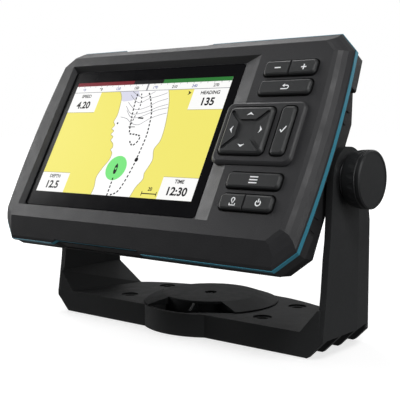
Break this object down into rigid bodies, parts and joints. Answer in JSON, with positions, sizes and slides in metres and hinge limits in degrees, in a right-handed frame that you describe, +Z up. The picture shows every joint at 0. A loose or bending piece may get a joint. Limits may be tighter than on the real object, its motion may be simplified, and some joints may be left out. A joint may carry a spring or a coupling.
{
  "type": "chartplotter display",
  "caption": "Marine chartplotter display with side keypad on a tilting, swivelling bail bracket with clamp knobs; the keys press and the direction pad rocks.",
  "frame": {"origin": "centre of the swivel base's screw circle, on the surface that the base stands on", "axes": "+Z up along the swivel axis; the screen faces -Y; +X to the right of a user who faces the screen"},
  "size_m": [0.1834, 0.0944, 0.1347],
  "materials": {
    "bezel": "fine moulded texture",
    "accent": "satin",
    "cover": "fine moulded texture",
    "cover_glass": "bonded cover glass",
    "gasket": "matt",
    "lcd": "panel",
    "backlight": "sheet",
    "keys": "matt key caps",
    "membrane": "silicone",
    "domes": "pressed",
    "circuit_board": "solder mask",
    "antenna": "patch antenna",
    "buzzer": "moulded",
    "flex": "polyimide film",
    "socket": "moulded",
    "pins": "gold flashed",
    "screw_steel": "stainless",
    "insert_brass": "turned",
    "bracket": "glass filled, moulded texture",
    "knob": "moulded",
    "stud_steel": "rolled thread",
    "base": "moulded",
    "bearing": "acetal"
  },
  "bodies": {
    "base": {"swivel_base": "base", "swivel_bearing": "bearing", "swivel_cap": "base", "swivel_screw": "screw_steel"},
    "bracket": {"bail_bracket": "bracket"},
    "head": {"front_bezel": "bezel", "accent_trim": "accent", "housing_gasket": "gasket", "rear_cover": "cover", "cover_glass": "cover_glass", "glass_gasket": "gasket", "lcd_panel": "lcd", "backlight": "backlight", "keypad_membrane": "membrane", "dome_switches": "domes", "keypad_board": "circuit_board", "main_board": "circuit_board", "gps_antenna": "antenna", "buzzer": "buzzer", "ribbon_cable": "flex", "socket_body": "socket", "socket_pins": "pins", "socket_seal": "gasket", "breather_vent": "cover", "housing_screws": "screw_steel", "insert_left": "insert_brass", "insert_right": "insert_brass", "tilt_pad_left": "gasket", "tilt_pad_right": "gasket"},
    "key_minus": {"key_minus": "keys"},
    "key_plus": {"key_plus": "keys"},
    "key_back": {"key_back": "keys"},
    "key_enter": {"key_enter": "keys"},
    "key_menu": {"key_menu": "keys"},
    "key_mark": {"key_mark": "keys"},
    "key_power": {"key_power": "keys"},
    "dpad_rocker": {"dpad_boot": "membrane"},
    "dpad": {"dpad": "keys"},
    "washer_left": {"knob_left_washer": "screw_steel"},
    "knob_left": {"knob_left": "knob", "knob_left_face": "knob", "stud_left": "stud_steel"},
    "washer_right": {"knob_right_washer": "screw_steel"},
    "knob_right": {"knob_right": "knob", "knob_right_face": "knob", "stud_right": "stud_steel"}
  },
  "joints": [
    {"name": "swivel", "type": "hinge", "parent": "base", "child": "bracket", "pos_m": [0, 0, 0], "axis": [0, 0, 1], "range_deg": [-60, 60]},
    {"name": "tilt", "type": "hinge", "parent": "bracket", "child": "head", "pos_m": [0, -0.008, 0.0745], "axis": [1, 0, 0], "range_deg": [-31, 29]},
    {"name": "key_minus_press", "type": "slide", "parent": "head", "child": "key_minus", "axis": [0, 0.8746, -0.4848], "range_m": [0, 0.0008], "stiffness_N_per_m": 1500, "springref_m": -0.0003},
    {"name": "key_plus_press", "type": "slide", "parent": "head", "child": "key_plus", "axis": [0, 0.8746, -0.4848], "range_m": [0, 0.0008], "stiffness_N_per_m": 1500, "springref_m": -0.0003},
    {"name": "key_back_press", "type": "slide", "parent": "head", "child": "key_back", "axis": [0, 0.8746, -0.4848], "range_m": [0, 0.0008], "stiffness_N_per_m": 1500, "springref_m": -0.0003},
    {"name": "key_enter_press", "type": "slide", "parent": "head", "child": "key_enter", "axis": [0, 0.8746, -0.4848], "range_m": [0, 0.0008], "stiffness_N_per_m": 1500, "springref_m": -0.0003},
    {"name": "key_menu_press", "type": "slide", "parent": "head", "child": "key_menu", "axis": [0, 0.8746, -0.4848], "range_m": [0, 0.0008], "stiffness_N_per_m": 1500, "springref_m": -0.0003},
    {"name": "key_mark_press", "type": "slide", "parent": "head", "child": "key_mark", "axis": [0, 0.8746, -0.4848], "range_m": [0, 0.0008], "stiffness_N_per_m": 1500, "springref_m": -0.0003},
    {"name": "key_power_press", "type": "slide", "parent": "head", "child": "key_power", "axis": [0, 0.8746, -0.4848], "range_m": [0, 0.0008], "stiffness_N_per_m": 1500, "springref_m": -0.0003},
    {"name": "dpad_rock_up_down", "type": "hinge", "parent": "head", "child": "dpad_rocker", "pos_m": [0.0502, -0.0341, 0.09137], "axis": [1, 0, 0], "range_deg": [-2.5, 2.5], "stiffness_Nm_per_rad": 0.35},
    {"name": "dpad_rock_left_right", "type": "hinge", "parent": "dpad_rocker", "child": "dpad", "pos_m": [0.0502, -0.0341, 0.09137], "axis": [0, 0.4848, 0.8746], "range_deg": [-2.5, 2.5], "stiffness_Nm_per_rad": 0.35},
    {"name": "washer_left_back_off", "type": "slide", "parent": "head", "child": "washer_left", "axis": [-1, 0, 0], "range_m": [0, 0.0025]},
    {"name": "knob_left_turn", "type": "hinge", "parent": "washer_left", "child": "knob_left", "pos_m": [0, -0.008, 0.0745], "axis": [-1, 0, 0], "range_deg": [0, 720]},
    {"name": "washer_right_back_off", "type": "slide", "parent": "head", "child": "washer_right", "axis": [1, 0, 0], "range_m": [0, 0.0025]},
    {"name": "knob_right_turn", "type": "hinge", "parent": "washer_right", "child": "knob_right", "pos_m": [0, -0.008, 0.0745], "axis": [1, 0, 0], "range_deg": [0, 720]}
  ],
  "couplings": [
    {"joint": "knob_left_turn", "follows": "washer_left_back_off", "rad_per_m": 5026.5},
    {"joint": "knob_right_turn", "follows": "washer_right_back_off", "rad_per_m": 5026.5}
  ]
}
